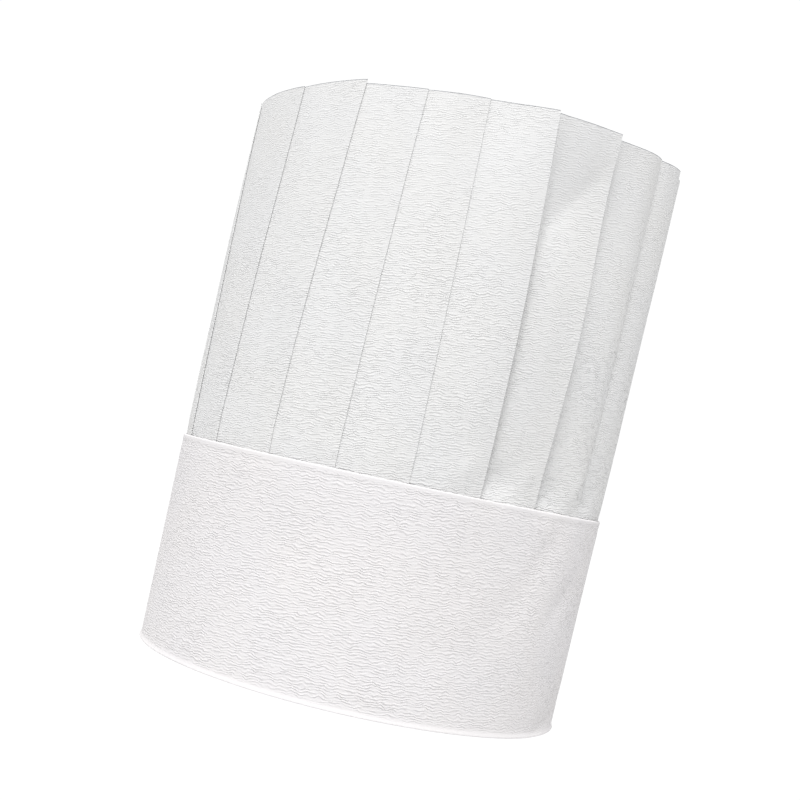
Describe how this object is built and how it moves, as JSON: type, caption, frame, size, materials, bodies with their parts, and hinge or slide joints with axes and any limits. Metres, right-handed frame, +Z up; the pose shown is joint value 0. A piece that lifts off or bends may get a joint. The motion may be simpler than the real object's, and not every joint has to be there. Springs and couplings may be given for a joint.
{
  "type": "paper chef hat",
  "caption": "Tall white disposable chef hat: a straight tube of knife-pleated embossed paper, open at the top, standing in a wide plain paper headband.",
  "frame": {"origin": "middle of the headband's lower edge, on the plane that the hat stands on", "axes": "+Z up along the tube of the hat, -Y towards the side seen in the picture, the headband's seam at +Y"},
  "size_m": [0.1969, 0.1984, 0.2549],
  "materials": {
    "band_paper": "matte",
    "crown_paper": "matte"
  },
  "bodies": {
    "root": {"headband": "band_paper", "crown": "crown_paper"}
  },
  "joints": []
}
